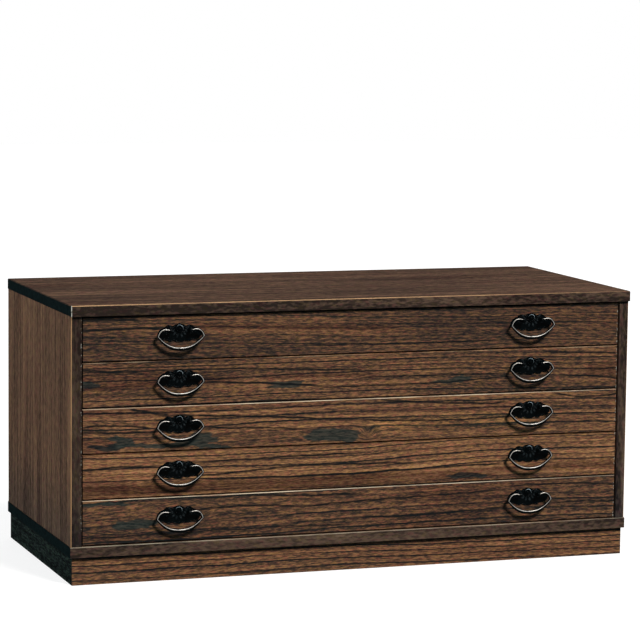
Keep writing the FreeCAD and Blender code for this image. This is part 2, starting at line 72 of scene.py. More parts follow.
class Graph:
    """Short calls that add nodes to a tree. Values may be sockets or constants."""

    def __init__(self, tree):
        self.nodes = tree.nodes
        self.links = tree.links

    def put(self, value, socket):
        """Link a socket or set a constant."""
        if isinstance(value, bpy.types.NodeSocket):
            self.links.new(value, socket)
        else:
            socket.default_value = value

    def node(self, kind, *values, **settings):
        """Add a node with its settings and its first inputs."""
        node = self.nodes.new(kind)
        for key, setting in settings.items():
            setattr(node, key, setting)
        for socket, value in zip(node.inputs, values):
            self.put(value, socket)
        return node

    def math(self, operation, *values, clamp=False):
        """One step of arithmetic."""
        return self.node("ShaderNodeMath", *values, operation=operation, use_clamp=clamp).outputs[0]

    def vector(self, operation, *values):
        """One step of vector arithmetic."""
        return self.node("ShaderNodeVectorMath", *values, operation=operation).outputs[0]

    def dot(self, first, second):
        """The dot product of two vectors."""
        return self.node("ShaderNodeVectorMath", first, second, operation="DOT_PRODUCT").outputs["Value"]

    def scaled(self, value, factor, offset=0.0):
        """A value times a factor plus an offset."""
        return self.math("MULTIPLY_ADD", value, factor, offset)

    def total(self, *values):
        """The sum of several values."""
        result = values[0]
        for value in values[1:]:
            result = self.math("ADD", result, value)
        return result

    def smooth(self, value, low, high):
        """0 below low, 1 above high and smooth between them. Low may be above high."""
        node = self.nodes.new("ShaderNodeMapRange")
        node.interpolation_type = "SMOOTHSTEP"
        self.put(value, node.inputs["Value"])
        falling = low > high
        node.inputs["From Min"].default_value = high if falling else low
        node.inputs["From Max"].default_value = low if falling else high
        node.inputs["To Min"].default_value = 1.0 if falling else 0.0
        node.inputs["To Max"].default_value = 0.0 if falling else 1.0
        return node.outputs[0]

    def noise(self, place, scales, seed, detail=2.0, roughness=0.5):
        """Noise about zero, from -0.5 to 0.5, at a scale for each axis."""
        shift = tuple(seed * step for step in SEED_SHIFT)
        node = self.nodes.new("ShaderNodeTexNoise")
        self.put(self.vector("MULTIPLY_ADD", place, scales, shift), node.inputs["Vector"])
        node.inputs["Scale"].default_value = 1.0
        node.inputs["Detail"].default_value = detail
        node.inputs["Roughness"].default_value = roughness
        return self.math("SUBTRACT", node.outputs[0], 0.5)

    def mix(self, share, first, second, blend="MIX"):
        """A mix of two colours."""
        node = self.nodes.new("ShaderNodeMix")
        node.data_type = "RGBA"
        node.blend_type = blend
        self.put(share, node.inputs["Factor"])
        self.put(first, node.inputs["A"])
        self.put(second, node.inputs["B"])
        return node.outputs["Result"]

    def tinted(self, share, colour, factors):
        """A colour times three factors, as far as the share goes."""
        return self.mix(share, colour, (*factors, 1.0), blend="MULTIPLY")

    def ramp(self, value, stops):
        """A colour ramp through (place, colour) stops."""
        node = self.nodes.new("ShaderNodeValToRGB")
        elements = node.color_ramp.elements
        while len(elements) < len(stops):
            elements.new(0.5)
        for element, (place, colour) in zip(elements, stops):
            element.position = place
            element.color = colour
        self.put(value, node.inputs["Fac"])
        return node.outputs["Color"]

    def background_rays(self):
        """1 for the rays that show the background: those of the camera, and those gloss or glass sends on."""
        rays = self.node("ShaderNodeLightPath").outputs
        seen = self.math("MAXIMUM", rays["Is Camera Ray"], rays["Is Glossy Ray"])
        return self.math("MAXIMUM", seen, rays["Is Transmission Ray"])


class Paint(Graph):
    """A new material with its graph."""

    def __init__(self, name):
        self.material = bpy.data.materials.new(name)
        self.material.use_nodes = True
        super().__init__(self.material.node_tree)
        self.shader = self.nodes["Principled BSDF"]

    def coat(self, weight, roughness):
        """A thin coat that shines, over a body that doesn't."""
        self.shader.inputs["Specular IOR Level"].default_value = 0.0
        self.shader.inputs["Coat Weight"].default_value = weight
        self.shader.inputs["Coat Roughness"].default_value = roughness

    def bump(self, height, distance):
        """Tilt the shading normal by a height field, and return it."""
        node = self.nodes.new("ShaderNodeBump")
        node.inputs["Distance"].default_value = distance
        self.put(height, node.inputs["Height"])
        self.put(node.outputs["Normal"], self.shader.inputs["Normal"])
        return node.outputs["Normal"]


# Wood

# What a piece of wood can change
WOOD = {
    # The cut: the row frame's axes along, across and into the grain, and where they are zero
    "axes": "XZY",
    "origin": (0.0, 0.0, 0.0),
    "seed": 1.0,
    # Growth rings: their heart's place across and behind the face, its tilt, and how wide and wavy they are
    "heart": (0.12, 0.05),
    "tilt": 0.0,
    "spacing": 0.0115,
    "sway": 0.030,
    "wobble": 0.005,
    "ripple": 0.0014,
    # How strongly each part of the figure shows, about a level from dark to light
    "line": 1.05,
    "line_share": 0.22,
    "gradient": 0.20,
    "bands": 0.6,
    "dashes": 0.34,
    "pores": 0.9,
    "level": 0.50,
    # Marks at listed places, explained at FRONT_LOOKS
    "eyes": (),
    "patches": (),
    "shades": (),
    "veins": (),
    # Colours from dark to light, and factors that tint them in places
    "palette": ((24, 27, 27), (57, 45, 38), (96, 69, 50), (128, 93, 64), (158, 119, 82)),
    "tint": (0.82, 0.75, 0.78),
    "golden": (1.08, 1.09, 0.85),
    "ruddy": (1.12, 0.85, 0.94),
    # Bevels: a painted highlight where set pale, which also stands for bare worn wood, and painted shade
    # where set dark, in gaps; how strongly they show, their colour, the way they face, and where along the
    # grain they fade out
    "worn": 0.0,
    "worn_colour": (178, 158, 126),
    "worn_faces": (0.0, -0.7, 0.7),
    "worn_fade": None,
    # Flecks on upright edges of the front, which at full density make a dark strip of painted shade in a gap:
    # (X, density)
    "flecked_edges": (),
    "fleck_colour": (150, 148, 138),
    # Darker faces: the ways bevels with painted shade face, the ends' stain, the painted shade on
    # front-facing faces, and the heights of painted shade at the foot
    "sooty_faces": ((0.0, -0.7, -0.7), (-0.7, -0.7, 0.0)),
    "dark_ends": None,
    "front_shade": None,
    "dark_foot": None,
    # Surface
    "roughness": 0.46,
    "coat": 0.03,
    "coat_roughness": 0.32,
    "bump": 0.00025,
}

# Noises of the wood: scales along, across and into the grain, step of the seed, detail and roughness
GRAIN = {
    "sway": ((1.6, 5.0, 5.0), 0, 1.0, 0.5),
    "wobble": ((8.0, 30.0, 30.0), 4, 1.0, 0.5),
    "ripple": ((38.0, 70.0, 70.0), 6, 1.0, 0.5),
    "jitter": ((2.0, 60.0, 60.0), 9, 1.0, 0.5),
    "fading": ((3.5, 40.0, 40.0), 13, 2.0, 0.5),
    "bands": ((3.0, 150.0, 60.0), 17, 2.0, 0.6),
    "dashes": ((80.0, 480.0, 240.0), 19, 2.0, 0.6),
    "flecks": ((90.0, 300.0, 200.0), 21, 2.0, 0.6),
    "pores": ((150.0, 1500.0, 800.0), 23, 2.0, 0.6),
    "broad": ((2.2, 14.0, 14.0), 29, 2.0, 0.5),
    "tint": ((2.6, 18.0, 18.0), 37, 3.0, 0.5),
    "ragged_along": ((20.0, 120.0, 120.0), 41, 3.0, 0.5),
    "ragged_across": ((22.0, 60.0, 60.0), 42, 3.0, 0.5),
    "mottle": ((160.0, 160.0, 160.0), 43, 4.0, 0.5),
    "wear": ((14.0, 14.0, 14.0), 47, 3.0, 0.5),
    "wander": ((26.0, 40.0, 40.0), 53, 2.0, 0.5),
    "breaks": ((60.0, 200.0, 200.0), 54, 2.0, 0.5),
    "edge_flecks": ((260.0, 260.0, 260.0), 59, 2.0, 0.5),
}

PALETTE_PLACES = (0.05, 0.30, 0.55, 0.78, 1.0)
PATCH_COLOURS = ((10, 19, 20), (54, 59, 54))
VEIN_COLOUR = (20, 22, 22)
# The colour of painted shade on bevels in gaps and under overhangs
SOOT = (10, 9, 9)
DARKER_HUE = (1.0, 0.95, 1.08)
LIGHTER_HUE = (1.0, 1.02, 0.85)
# The tint of painted shade at the foot
FOOT_TINT = (0.66, 0.76, 0.88)

# Where the masks over noises and over the rings begin and end
RING_STRENGTH = (0.25, 0.85)
RING_FADING = (-0.14, 0.10)
RING_END = (0.96, 1.0)
STREAK_RANGE = (-0.12, 0.12)
TINT_RANGE = (0.02, 0.22)
GOLDEN_RANGE = (-0.02, -0.16)
RUDDY_RANGE = (0.02, 0.16)
PATCH_RIM = (1.3, 0.9)
BREAK_RANGE = (-0.20, 0.05)

# How far noises shift things: the count of rings, and places in metres
RING_JITTER = 0.4
RAGGED_ALONG = 0.09
RAGGED_ACROSS = 0.022
WANDER = 0.006

# Lines along the grain: the half widths from none to full, and the shares of their length at both ends
SHADE_SOFT = (1.7, 0.2)
VEIN_SOFT = (1.3, 0.5)
COURSE_START = (-0.04, 0.10)
COURSE_END = (1.04, 0.90)

# Directions, and how nearly a face must point there to begin to count and to count in full
TO_FRONT = (0.0, -1.0, 0.0)
TO_SIDE = (1.0, 0.0, 0.0)
BEVEL_FACING = (0.85, 0.97)
FRONT_FACING = (0.8, 0.95)
END_FACING = (0.6, 0.8)
EDGE_FACING = (0.3, 0.6)

# An edge's flecks lie in a strip that is this far to each side, from none to full
FLECK_REACH = (0.0016, 0.0008)
EDGE_INSET = 0.0006
# The inset of a dark strip of painted shade in a gap
DARK_EDGE_INSET = 0.0004


class Wood(Paint):
    """Wood cut from one tree: growth rings about a tilted heart, brushed streaks, and pores along them."""

    def __init__(self, name, spec):
        super().__init__(name)
        self.spec = spec
        coordinates = self.node("ShaderNodeTexCoord").outputs
        self.normal = coordinates["Normal"]
        self.axes = self.node("ShaderNodeSeparateXYZ", coordinates["Object"]).outputs
        ordered = self.node("ShaderNodeCombineXYZ", *(self.axes[axis] for axis in spec["axes"])).outputs[0]
        self.place = self.vector("SUBTRACT", ordered, spec["origin"])
        self.along, self.across, self.depth = self.node("ShaderNodeSeparateXYZ", self.place).outputs
        self.line, self.share, self.flow = self.rings()
        self.bands = self.grain("bands", self.flow)
        self.dashes = self.grain("dashes", self.flow)
        self.pores = self.grain("pores", self.flow)

    def grain(self, name, place=None):
        """One of the noises in GRAIN, over the cut or over another field."""
        scales, step, detail, roughness = GRAIN[name]
        field = self.place if place is None else place
        return self.noise(field, scales, self.spec["seed"] + step, detail, roughness)

    def oval(self, along, across, spot, power=2.0):
        """A distance from the middle of an oval, which is 1 on its rim. A higher power makes it squarer."""
        middle_along, middle_across, half_length, half_height = spot
        u = self.math("ABSOLUTE", self.scaled(along, 1 / half_length, -middle_along / half_length))
        v = self.math("ABSOLUTE", self.scaled(across, 1 / half_height, -middle_across / half_height))
        return self.math("ADD", self.math("POWER", u, power), self.math("POWER", v, power))

    def course(self, across, course, soft):
        """1 near a line that runs along the grain between two ends with a sag, and 0 away from it."""
        start, end, start_across, end_across, sag, half_width = course
        run = self.scaled(self.along, 1 / (end - start), -start / (end - start))
        rise = self.scaled(self.math("MULTIPLY", run, self.scaled(run, -1.0, 1.0)), 4 * sag)
        line_at = self.total(self.scaled(run, end_across - start_across, start_across), rise)
        off = self.math("ABSOLUTE", self.math("SUBTRACT", across, line_at))
        window = self.math("MULTIPLY", self.smooth(run, *COURSE_START), self.smooth(run, *COURSE_END))
        return self.math("MULTIPLY", self.smooth(off, half_width * soft[0], half_width * soft[1]), window)

    def rings(self):
        """The dark line of each growth ring, the share of the way through a ring, and the fibres' flow."""
        spec = self.spec
        heart_across, heart_depth = spec["heart"]
        height = self.total(
            self.scaled(self.along, spec["tilt"], heart_across),
            self.across,
            *(self.scaled(self.grain(wave), spec[wave]) for wave in ("sway", "wobble", "ripple")),
        )
        for *spot, lift in spec["eyes"]:
            swelling = self.math("EXPONENT", self.scaled(self.oval(self.along, self.across, spot), -1.0))
            height = self.math("ADD", height, self.scaled(swelling, lift))
        flow = self.node("ShaderNodeCombineXYZ", self.along, height, self.depth).outputs[0]
        reach = self.math("ADD", self.depth, heart_depth)
        squares = self.total(self.math("MULTIPLY", height, height), self.math("MULTIPLY", reach, reach))
        count = self.math("DIVIDE", self.math("SQRT", squares), spec["spacing"])
        count = self.math("ADD", count, self.scaled(self.grain("jitter"), RING_JITTER))
        share = self.math("FRACT", count)
        chance = self.node("ShaderNodeTexWhiteNoise", noise_dimensions="1D")
        self.put(self.math("FLOOR", count), chance.inputs["W"])
        strength = self.scaled(self.smooth(chance.outputs["Value"], *RING_STRENGTH), 0.88, 0.12)
        fading = self.scaled(self.smooth(self.grain("fading", flow), *RING_FADING), 0.5, 0.5)
        width = spec["line_share"]
        edge = self.math("MAXIMUM", self.smooth(share, width, width * 0.45), self.smooth(share, *RING_END))
        return self.math("MULTIPLY", edge, self.math("MULTIPLY", strength, fading)), share, flow

    def figured(self):
        """The colour of rings, streaks and pores, with tinted stretches and golden and ruddy flecks."""
        spec = self.spec
        streaks = self.scaled(self.smooth(self.dashes, *STREAK_RANGE), 1.0, -0.5)
        value = self.total(
            self.scaled(self.bands, spec["bands"], spec["level"]),
            self.scaled(streaks, spec["dashes"]),
            self.scaled(self.pores, spec["pores"]),
            self.scaled(self.share, -spec["gradient"], spec["gradient"] / 2),
            self.scaled(self.line, -spec["line"]),
            self.scaled(self.grain("broad"), 0.5),
        )
        stops = [(place, linear(*shade)) for place, shade in zip(PALETTE_PLACES, spec["palette"])]
        tint = self.smooth(self.grain("tint"), *TINT_RANGE)
        colour = self.tinted(tint, self.ramp(value, stops), spec["tint"])
        flecks = self.grain("flecks", self.flow)
        colour = self.tinted(self.smooth(flecks, *GOLDEN_RANGE), colour, spec["golden"])
        return self.tinted(self.smooth(flecks, *RUDDY_RANGE), colour, spec["ruddy"])

    def marked(self, colour):
        """Grey-brown patches where the rings lie flat in the face, shaded stretches and single dark veins."""
        spec = self.spec
        ragged_along = self.total(self.along, self.scaled(self.grain("ragged_along"), RAGGED_ALONG))
        ragged_across = self.total(self.across, self.scaled(self.grain("ragged_across"), RAGGED_ACROSS))
        for spot in spec["patches"]:
            far = self.oval(ragged_along, ragged_across, spot, power=3.0)
            mask = self.scaled(self.smooth(far, *PATCH_RIM), 0.9)
            dark, light = (linear(*shade) for shade in PATCH_COLOURS)
            colour = self.mix(mask, colour, self.mix(self.scaled(self.dashes, 1.9, 0.5), dark, light))
        wandering = self.math("ADD", self.across, self.scaled(self.grain("wander"), WANDER))
        for *course, tone in spec["shades"]:
            hue = DARKER_HUE if tone < 1 else LIGHTER_HUE
            mask = self.course(wandering, course, SHADE_SOFT)
            colour = self.tinted(mask, colour, [tone * factor for factor in hue])
        breaks = self.scaled(self.smooth(self.grain("breaks"), *BREAK_RANGE), 0.30, 0.68)
        for course in spec["veins"]:
            mask = self.math("MULTIPLY", self.course(wandering, course, VEIN_SOFT), breaks)
            colour = self.mix(mask, colour, linear(*VEIN_COLOUR))
        return colour

    def shaded(self, colour):
        """Painted shade on front-facing faces, at the foot, and on bevels in gaps and under overhangs; and
        the dark stain of the ends.
        """
        spec = self.spec
        if spec["front_shade"]:
            facing = self.smooth(self.dot(self.normal, TO_FRONT), *FRONT_FACING)
            colour = self.tinted(facing, colour, spec["front_shade"])
        if spec["dark_foot"]:
            colour = self.tinted(self.smooth(self.axes["Z"], *spec["dark_foot"]), colour, FOOT_TINT)
        if spec["dark_ends"]:
            dark, light = (linear(*shade) for shade in spec["dark_ends"])
            ends = self.smooth(self.math("ABSOLUTE", self.dot(self.normal, TO_SIDE)), *END_FACING)
            mottle = self.scaled(self.grain("mottle"), 1.6, 0.4)
            colour = self.mix(ends, colour, self.mix(mottle, dark, light))
        for direction in spec["sooty_faces"]:
            sooty = self.smooth(self.dot(self.normal, direction), *BEVEL_FACING)
            colour = self.mix(sooty, colour, linear(*SOOT))
        return colour

    def worn(self, colour):
        """Bevels with a painted highlight where set pale, which also stands for bare worn wood, and painted
        shade where set dark, in gaps; and flecks along the edges of the front, which at full density make a
        dark strip of painted shade in a gap.
        """
        spec = self.spec
        if spec["worn"]:
            bare = self.scaled(self.grain("wear"), 1.6, spec["worn"])
            if spec["worn_fade"]:
                bare = self.math("MULTIPLY", bare, self.smooth(self.along, *spec["worn_fade"]))
            toward = self.smooth(self.dot(self.normal, spec["worn_faces"]), *BEVEL_FACING)
            mask = self.math("MULTIPLY", toward, bare, clamp=True)
            colour = self.mix(mask, colour, linear(*spec["worn_colour"]))
        for edge_x, density in spec["flecked_edges"]:
            off = self.math("ABSOLUTE", self.math("SUBTRACT", self.axes["X"], edge_x))
            flecks = self.smooth(self.grain("edge_flecks"), 0.10 - density, 0.20 - density)
            facing = self.smooth(self.dot(self.normal, TO_FRONT), *EDGE_FACING)
            strip = self.smooth(off, *FLECK_REACH)
            mask = self.math("MULTIPLY", strip, self.math("MULTIPLY", flecks, facing))
            colour = self.mix(mask, colour, linear(*spec["fleck_colour"]))
        return colour

    def finish(self):
        """Join the colour, the shine and the relief to the shader."""
        spec = self.spec
        self.put(self.worn(self.shaded(self.marked(self.figured()))), self.shader.inputs["Base Color"])
        shine = self.total(self.scaled(self.line, 0.16, spec["roughness"]), self.scaled(self.pores, -0.25))
        self.put(shine, self.shader.inputs["Roughness"])
        self.coat(spec["coat"], spec["coat_roughness"])
        relief = self.total(
            self.scaled(self.line, -0.8), self.scaled(self.bands, 0.5), self.scaled(self.dashes, 0.6),
        )
        self.bump(relief, spec["bump"])
        return self.material


def wood(name, looks, **changes):
    """The wood of a piece, from looks that it shares with others and its own changes."""
    return Wood(name, {**WOOD, **looks, **changes}).finish()


def dress(node, material):
    """Give a CAD node one material all over."""
    slots = frame["nodes"][node].data.materials
    slots.clear()
    slots.append(material)


# Each drawer front is cut from another part of the log. Places are in metres from the middle of its face.
# Eyes lift the rings and patches are grey ovals: along, across, half length, half height, and an eye's lift.
# Shades and veins are lines along the grain: start, end, start across, end across, sag, half width, and a
# shade's tone.
# Each front's bevel settings paint its top bevel: pale on drawers 2, 3 and 5, a painted highlight that also
# stands for bare worn wood, and dark on drawers 1 and 4, painted shade in the gap above
FRONT_LOOKS = {
    1: {
        "seed": 2.0, "heart": (0.150, 0.060), "tilt": 0.018, "level": 0.40, "spacing": 0.0058, "line": 0.90,
        # The top bevel is dark: painted shade under the top board
        "dashes": 0.29, "worn": 1.0, "worn_colour": (12, 11, 10),
        "shades": ((-0.30, 0.08, 0.017, 0.003, 0.0, 0.005, 0.55),),
        "veins": (
            (-0.49, -0.34, 0.013, 0.015, 0.002, 0.0022), (-0.49, -0.38, 0.031, 0.030, 0.002, 0.002),
            (-0.10, 0.26, -0.020, -0.022, -0.002, 0.0014),
        ),
    },
    2: {
        "seed": 11.0, "heart": (0.110, 0.050), "tilt": 0.014, "level": 0.47, "spacing": 0.0095, "line": 1.0,
        "worn": 0.05, "bands": 0.85,
        "patches": (
            (-0.128, -0.009, 0.034, 0.005), (0.172, -0.013, 0.026, 0.0045), (-0.478, 0.0, 0.026, 0.006),
        ),
        "shades": (
            (-0.50, -0.20, -0.004, 0.003, 0.0, 0.005, 0.60),
            (-0.18, 0.04, 0.004, 0.002, 0.0, 0.004, 0.58),
            (0.42, 0.53, -0.004, -0.006, 0.0, 0.013, 0.55),
        ),
        "veins": (
            (-0.49, -0.38, 0.026, 0.021, -0.002, 0.0026), (-0.40, 0.02, 0.021, 0.009, 0.004, 0.0016),
            (-0.28, -0.06, -0.001, -0.016, 0.003, 0.0019), (-0.07, 0.27, -0.016, -0.011, -0.003, 0.0015),
            (0.00, 0.27, -0.003, -0.006, 0.002, 0.0014), (0.37, 0.49, -0.011, -0.021, 0.002, 0.0018),
            (0.34, 0.49, 0.031, 0.024, 0.0, 0.0015),
        ),
    },
    3: {
        "seed": 23.0, "heart": (0.070, 0.030), "tilt": 0.014, "level": 0.57, "spacing": 0.013, "line": 0.95,
        "bands": 0.9, "worn": 0.60, "worn_colour": (186, 172, 148), "worn_fade": (0.75, 0.10),
        "eyes": ((0.018, -0.022, 0.014, 0.010, 0.010),),
        "patches": (
            (-0.412, -0.019, 0.027, 0.009), (-0.380, -0.026, 0.100, 0.0042), (-0.272, -0.022, 0.024, 0.011),
            (-0.240, -0.033, 0.018, 0.003), (-0.050, -0.023, 0.045, 0.0105),
        ),
        "shades": (
            (-0.53, -0.30, 0.034, 0.026, 0.0, 0.008, 0.62),
            (-0.53, -0.42, -0.026, -0.026, 0.0, 0.010, 0.65),
            (-0.26, -0.04, 0.033, 0.031, 0.0, 0.005, 0.66),
            (0.01, 0.33, -0.009, -0.008, 0.0, 0.011, 1.50),
            (0.00, 0.30, 0.017, 0.015, 0.0, 0.005, 0.72),
        ),
        "veins": (
            (-0.40, -0.33, 0.034, 0.021, 0.0, 0.0026), (-0.34, 0.00, 0.022, 0.002, 0.002, 0.0019),
            (0.00, 0.30, 0.002, -0.003, -0.004, 0.0016), (-0.49, -0.35, -0.001, -0.004, -0.001, 0.0019),
            (-0.28, -0.09, -0.001, -0.010, 0.001, 0.0017), (-0.49, -0.36, 0.008, 0.002, 0.003, 0.0017),
            (0.04, 0.28, 0.034, 0.020, -0.002, 0.002), (0.36, 0.49, 0.033, 0.030, -0.005, 0.0016),
        ),
    },
    4: {
        "seed": 31.0, "heart": (0.130, 0.050), "tilt": 0.004, "level": 0.68, "spacing": 0.010, "line": 1.3,
        # The top bevel is dark: painted shade in the gap under drawer 3
        "bands": 1.0, "worn": 0.6, "worn_colour": (15, 13, 12),
        "patches": ((0.200, -0.027, 0.030, 0.0035),),
        "shades": (
            (-0.56, 0.09, -0.025, -0.025, 0.0, 0.011, 0.38),
            (0.05, 0.56, -0.024, -0.016, 0.0, 0.008, 0.46),
            (-0.54, -0.40, -0.008, -0.018, 0.0, 0.015, 0.62),
        ),
        "veins": (
            (-0.28, 0.00, 0.017, 0.021, 0.001, 0.0016), (-0.36, -0.13, -0.007, 0.003, -0.002, 0.0017),
            (-0.14, 0.10, 0.003, -0.001, 0.002, 0.0016), (-0.28, 0.05, -0.011, -0.014, -0.001, 0.0018),
            (0.00, 0.27, -0.013, -0.009, 0.0, 0.0017), (-0.49, -0.35, 0.011, 0.014, 0.002, 0.0016),
        ),
    },
    5: {
        "seed": 43.0, "heart": (0.120, 0.040), "tilt": -0.004, "level": 0.44, "spacing": 0.012, "line": 0.85,
        "worn": 0.60, "worn_colour": (186, 172, 148), "worn_fade": (0.75, 0.10),
        "patches": ((-0.395, -0.006, 0.035, 0.0085), (-0.445, 0.031, 0.045, 0.003)),
        "veins": (
            (-0.22, 0.02, 0.036, 0.027, -0.003, 0.002), (-0.29, -0.10, 0.013, 0.010, 0.005, 0.002),
            (-0.11, 0.28, 0.010, 0.021, 0.001, 0.0016), (0.00, 0.28, -0.014, -0.008, -0.004, 0.002),
            (0.28, 0.49, 0.026, 0.020, 0.004, 0.0017), (0.36, 0.49, -0.005, -0.008, 0.0, 0.0015),
            (-0.49, 0.00, -0.026, -0.024, 0.002, 0.0014),
        ),
    },
}
PLINTH_LOOKS = {"seed": 57.0, "heart": (0.05, 0.03), "tilt": 0.01, "level": 0.58, "spacing": 0.009}
PLINTH_MIDDLE = 0.0235

# The planed case, with plainer figure than the fronts
CASE_LOOKS = {
    "palette": ((42, 33, 28), (66, 51, 42), (86, 66, 53), (98, 76, 60), (116, 91, 70)),
    "line": 0.10, "pores": 0.4, "dashes": 0.40, "coat": 0.01, "bump": 0.00012,
}
# The side panels' darker foot is painted shade, and their pale front bevels carry a painted highlight that
# also stands for bare worn wood
SIDE_LOOKS = {
    **CASE_LOOKS, "axes": "ZYX", "heart": (0.9, 0.3), "gradient": 0.10, "bands": 1.5, "spacing": 0.012,
    "sway": 0.01, "wobble": 0.002, "worn": 0.8, "worn_colour": (160, 124, 88), "sooty_faces": (),
    "dark_foot": (0.20, 0.06),
}
# The boards' pale front bevels carry a painted highlight that also stands for bare worn wood
BOARD_LOOKS = {
    **CASE_LOOKS, "axes": "XYZ", "heart": (0.8, 0.3), "gradient": 0.08, "bands": 1.4, "spacing": 0.011,
    "sway": 0.02, "wobble": 0.003, "dark_ends": ((2, 8, 9), (13, 26, 27)), "worn": 0.75,
    "worn_colour": (158, 126, 92),
}
STAINED_LOOKS = {
    "axes": "YZX", "seed": 79.0, "heart": (0.3, 0.1), "line": 0.2, "bands": 1.2, "dashes": 0.7,
    "palette": ((5, 8, 8), (12, 18, 18), (20, 29, 28), (28, 38, 36), (36, 46, 43)),
    "coat": 0.01, "bump": 0.00012,
}

# Bare wood inside the case
PALE_LOOKS = {
    "palette": ((138, 106, 76), (166, 134, 100), (190, 158, 122), (205, 174, 138), (217, 188, 152)),
    "line": 0.35, "gradient": 0.2, "bands": 0.5, "dashes": 0.22, "sway": 0.02, "wobble": 0.002,
    "tint": (0.93, 0.90, 0.86), "roughness": 0.62, "coat": 0.04, "bump": 0.0001,
}


def dress_fronts():
    """Burnt and brushed wood on the drawer fronts and the plinth's front rail."""
    face_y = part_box("drawer_1_front")[0].y
    for number, looks in FRONT_LOOKS.items():
        low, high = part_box(f"drawer_{number}_front")
        dress(f"drawer_{number}_front", wood(
            f"burnt_front_{number}", looks, origin=(0.0, (low.z + high.z) / 2, face_y),
            flecked_edges=((high.x - EDGE_INSET, 0.04),),
        ))
    dress("plinth_front_rail", wood("burnt_plinth", PLINTH_LOOKS, origin=(0.0, PLINTH_MIDDLE, face_y)))


def dress_case():
    """Side panels, boards and the plinth's other rails."""
    left_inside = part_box("left_side_panel")[1].x
    right_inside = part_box("right_side_panel")[0].x
    top_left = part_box("top_board")[0].x
    # Each front shade darkens a piece's front-facing faces: painted shade
    dress("left_side_panel", wood(
        "case_left", SIDE_LOOKS, seed=61.0, worn_faces=(-0.7, -0.7, 0.0), front_shade=(0.35, 0.40, 0.46),
        flecked_edges=((left_inside - EDGE_INSET, 0.03),), fleck_colour=(112, 110, 102),
    ))
    # The right panel's dark strip at its inner front edge is painted shade in the gap beside the drawers
    dress("right_side_panel", wood(
        "case_right", SIDE_LOOKS, seed=67.0, worn_faces=(0.7, -0.7, 0.0), front_shade=(0.62, 0.70, 0.80),
        flecked_edges=((right_inside + DARK_EDGE_INSET, 1.0),), fleck_colour=(14, 12, 11),
    ))
    dress("top_board", wood(
        "case_top", BOARD_LOOKS, seed=71.0, level=0.22, front_shade=(0.84, 0.92, 0.98),
        worn_fade=(0.55, 0.15), flecked_edges=((top_left + EDGE_INSET, 0.20),),
    ))
    dress("bottom_board", wood(
        "case_bottom", BOARD_LOOKS, seed=73.0, level=0.48, front_shade=(0.66, 0.74, 0.82), worn=0.38,
        worn_colour=(146, 142, 124), worn_fade=(0.95, 0.05),
    ))
    dress("plinth_back_rail", wood(
        "case_plinth_back", BOARD_LOOKS, seed=89.0, axes="XZY", dark_ends=None, worn=0.0,
    ))
    for rail in ("plinth_left_rail", "plinth_right_rail"):
        dress(rail, wood(f"stained_{rail}", STAINED_LOOKS))


def dress_inside():
    """Pale wood on the back, the runners, the corner blocks and the drawers' boxes."""
    pale = {
        axes: wood(f"pale_{axes.lower()}", PALE_LOOKS, axes=axes, seed=83.0 + index)
        for index, axes in enumerate(("XZY", "YZX", "XYZ"))
    }
    dress("back_panel", pale["XZY"])
    dress("plinth_corner_blocks", pale["XZY"])
    for side in SIDES:
        dress(f"{side}_runners", pale["YZX"])
    for number in DRAWERS:
        dress(f"drawer_{number}_back", pale["XZY"])
        dress(f"drawer_{number}_bottom", pale["XYZ"])
        for side in SIDES:
            dress(f"drawer_{number}_{side}_side", pale["YZX"])


# Iron

IRON_DARK = (1, 3, 4)
IRON_COAT_TINT = (0.70, 0.92, 1.0, 1.0)
CLOUD_SCALE = 420.0
GRIT_SCALE = 2600.0
WEAR_SCALE = 110.0


def iron(name, rubbed=None, light=(8, 13, 14), roughness=0.30, coat=0.05, coat_roughness=0.20, bump=0.00008):
    """Black-lacquered iron. Where the mesh marks it, a painted highlight of bright metal shows, which on the
    bail also stands for iron rubbed bare.

    The painted-highlight setting holds the mesh weight at which it begins, its colour and how uneven it is.
    """
    g = Paint(name)
    place = g.node("ShaderNodeTexCoord").outputs["Object"]
    cloud = g.noise(place, (CLOUD_SCALE,) * 3, 3.0, detail=4.0, roughness=0.6)
    grit = g.noise(place, (GRIT_SCALE,) * 3, 7.0)
    colour = g.mix(g.scaled(cloud, 1.4, 0.45), linear(*IRON_DARK), linear(*light))
    rough = g.total(g.scaled(cloud, 0.18, roughness), g.scaled(grit, 0.10))
    if rubbed:
        low_crest, shade, unevenness = rubbed
        crest = g.node("ShaderNodeAttribute", attribute_name="crest").outputs["Fac"]
        wear = g.scaled(g.noise(place, (WEAR_SCALE,) * 3, 5.0), unevenness, 1.0)
        bare = g.math("MULTIPLY", g.smooth(crest, low_crest, 1.0), wear, clamp=True)
        colour = g.mix(bare, colour, linear(*shade))
        rough = g.math("ADD", rough, g.scaled(bare, 0.12))
        g.put(g.scaled(bare, 0.4), g.shader.inputs["Metallic"])
    g.put(colour, g.shader.inputs["Base Color"])
    g.put(rough, g.shader.inputs["Roughness"])
    g.coat(coat, coat_roughness)
    g.shader.inputs["Coat Tint"].default_value = IRON_COAT_TINT
    normal = g.bump(g.total(cloud, g.scaled(grit, 0.3)), bump)
    g.put(normal, g.shader.inputs["Coat Normal"])
    return g.material


# Handles, in millimetres about the pivot line: X across, Y to the back, Z up

# Where the handle sits: the drawer's face is this far behind the pivot line, and the front is this thick
PIVOT_STAND_OFF = 10.0
FRONT_THICKNESS = 18.0
POST_HALF = 17.0

# The bail's outline: hooks, pointed tips and the bow between them
HOOK_X = 19.6
HOOK_HALF = 2.3
HOOK_BULGE = 0.24
HOOK_STEPS = 10
TIP_X = 42.0
TIP_Z = -9.4
INNER_TIP_X = 36.8
BOW_DROP = 33.8
BOW_FULLNESS = 2.4
BOW_STEPS = 40

